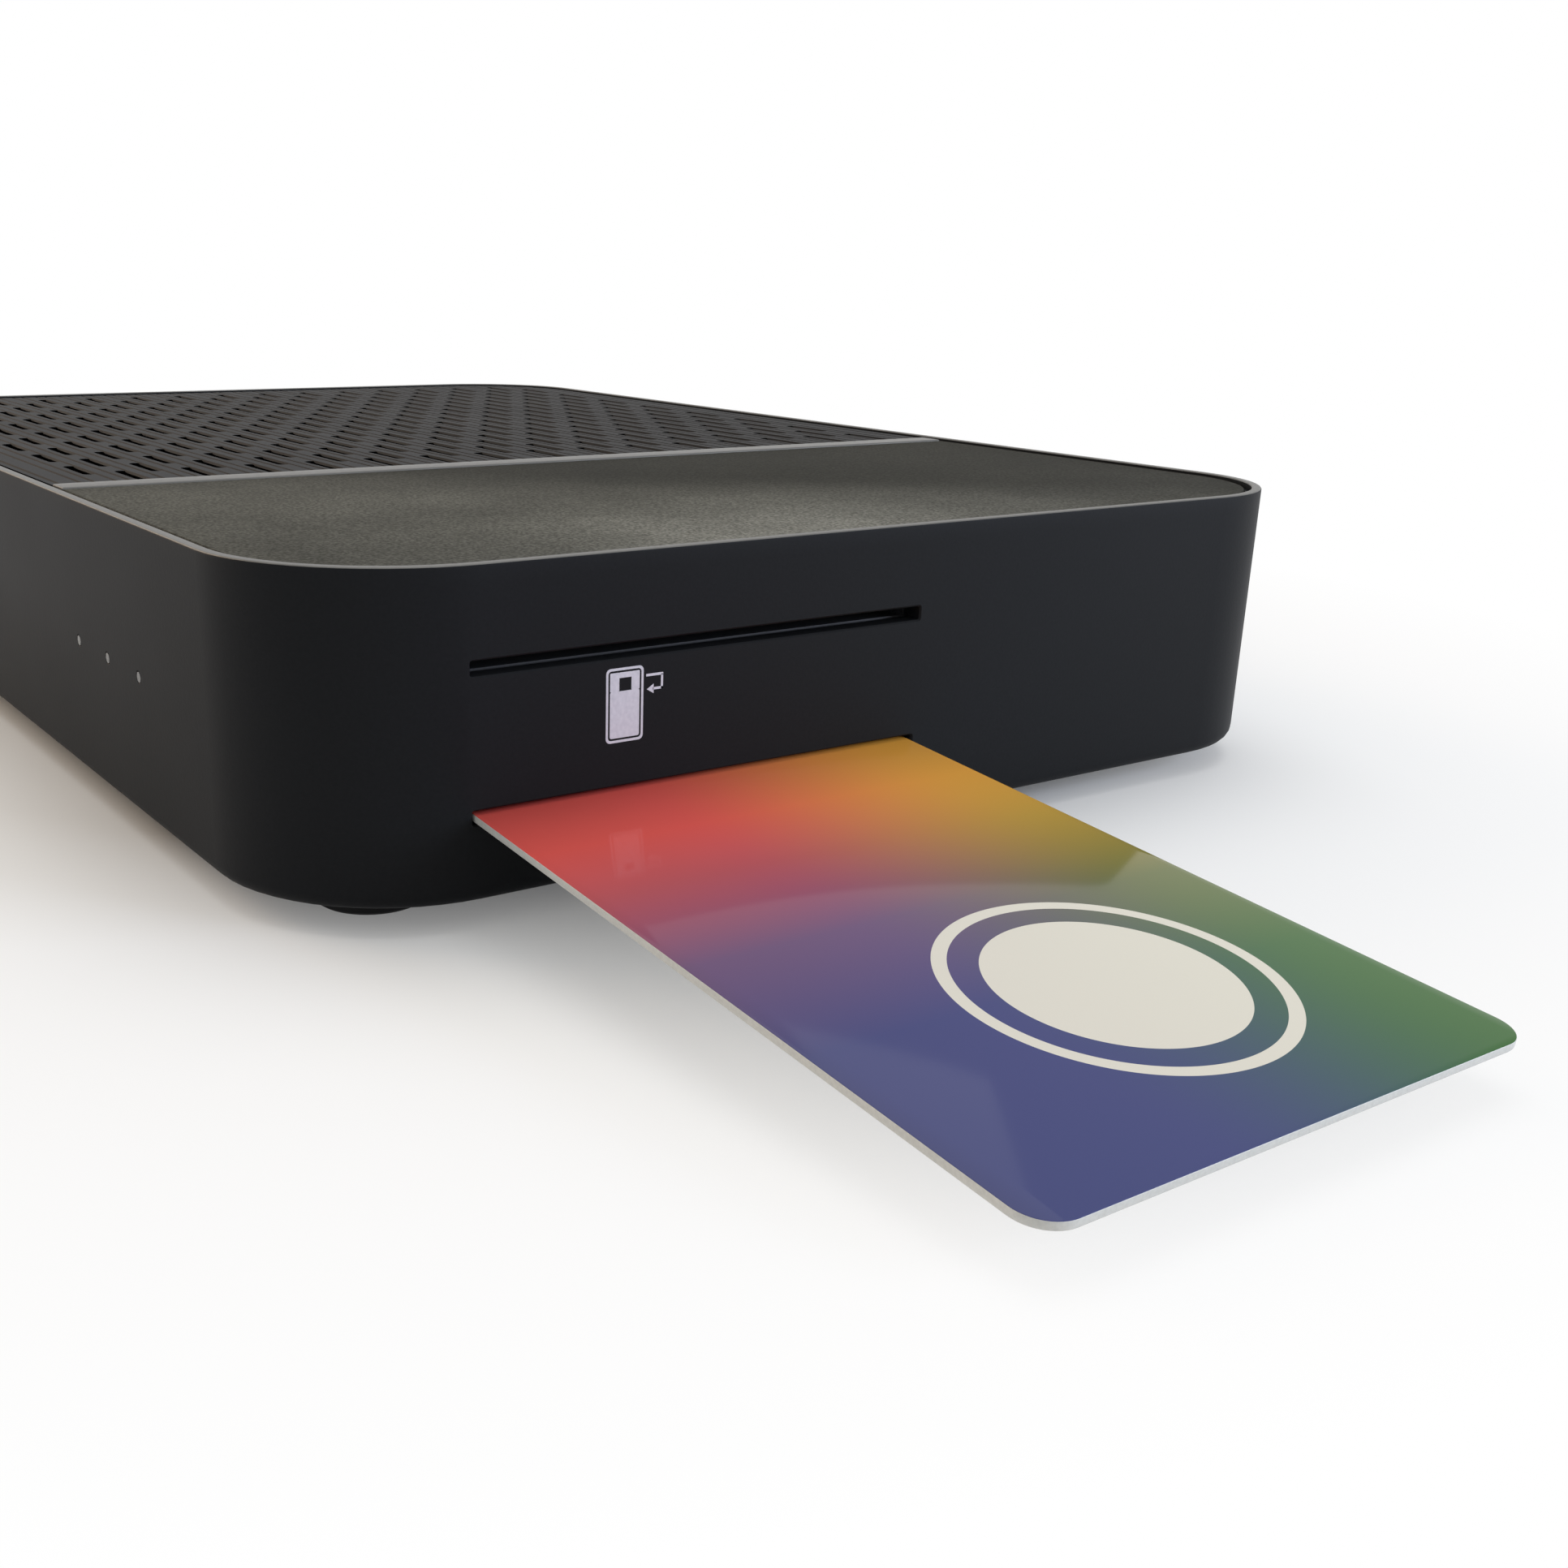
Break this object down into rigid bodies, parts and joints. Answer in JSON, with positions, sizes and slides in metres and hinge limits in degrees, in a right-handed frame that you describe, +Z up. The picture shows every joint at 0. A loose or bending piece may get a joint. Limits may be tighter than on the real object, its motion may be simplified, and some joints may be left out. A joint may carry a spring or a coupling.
{
  "type": "satellite tv receiver",
  "caption": "Low box satellite television receiver with rounded corners, slotted top, side smart card slots and rear sockets.",
  "frame": {"origin": "middle of the base cover's flat underside, the feet reach 2.6 mm below it", "axes": "+X towards the card side, +Y towards the rear sockets, +Z up through the top plates"},
  "size_m": [0.2778, 0.1536, 0.035],
  "materials": {
    "housing_abs": "charcoal moulded ABS, fine matte texture",
    "trim_satin": "satin silver-grey edge",
    "top_plate": "fine matte warm dark grey with light dust",
    "grille": "matte dark grey with fine ribs",
    "card_pvc": "glossy printed laminated card",
    "chip_gold": "gold plated contacts",
    "cover_black": "black moulded cover",
    "foot_rubber": "soft black rubber",
    "screw_steel": "zinc plated",
    "board_laminate": "green solder mask",
    "chip_epoxy": "black epoxy",
    "sink_aluminium": "extruded and anodised",
    "can_sleeve": "printed sleeve",
    "reader_plastic": "glass filled nylon",
    "contact_gold": "gold plated spring bronze",
    "light_pipe": "clear acrylic",
    "lamp_resin": "clear resin",
    "panel_steel": "black powder coat",
    "tin_can": "tin plated steel",
    "aerial_nickel": "nickel plated brass",
    "socket_steel": "plated steel",
    "socket_plastic": "black nylon",
    "rocker_plastic": "black nylon"
  },
  "bodies": {
    "root": {"housing_shell": "housing_abs", "trim_ring": "trim_satin", "smooth_top_plate": "top_plate", "divider_strip": "trim_satin", "vent_grille": "grille", "base_cover": "cover_black", "rubber_feet": "foot_rubber", "case_screws": "screw_steel", "main_board": "board_laminate", "board_screws": "screw_steel", "main_processor": "chip_epoxy", "heat_sink": "sink_aluminium", "memory_chips": "chip_epoxy", "capacitors": "can_sleeve", "power_coils": "chip_epoxy", "light_pipes": "light_pipe", "front_board": "board_laminate", "indicator_lamps": "lamp_resin", "remote_eye": "chip_epoxy", "front_header": "socket_plastic", "lower_card_reader": "reader_plastic", "lower_reader_contacts": "contact_gold", "upper_card_reader": "reader_plastic", "upper_reader_contacts": "contact_gold", "reader_posts": "screw_steel", "reader_screws": "screw_steel", "reader_header": "socket_plastic", "rear_panel": "panel_steel", "tuner_can": "tin_can", "aerial_connector": "aerial_nickel", "hdmi_socket": "socket_steel", "network_socket": "socket_plastic", "usb_socket": "socket_steel", "optical_socket": "socket_plastic", "audio_jack": "socket_plastic", "power_inlet": "socket_plastic", "switch_frame": "socket_plastic"},
    "card": {"smart_card": "card_pvc", "card_chip": "chip_gold"},
    "rocker": {"power_rocker": "rocker_plastic"},
    "shutter": {"optical_shutter": "socket_plastic"}
  },
  "joints": [
    {"name": "card_slide", "type": "slide", "parent": "root", "child": "card", "axis": [0.9959, 0, -0.0906], "range_m": [-0.06, 0.014]},
    {"name": "rocker_tilt", "type": "hinge", "parent": "root", "child": "rocker", "pos_m": [0.0699, 0.068, 0.015], "axis": [1, 0, 0], "range_deg": [-20, 0]},
    {"name": "shutter_swing", "type": "hinge", "parent": "root", "child": "shutter", "pos_m": [0.02501, 0.0688, 0.014], "axis": [1, 0, 0], "range_deg": [-80, 0], "stiffness_Nm_per_rad": 0.0002, "springref_deg": 28.65}
  ]
}
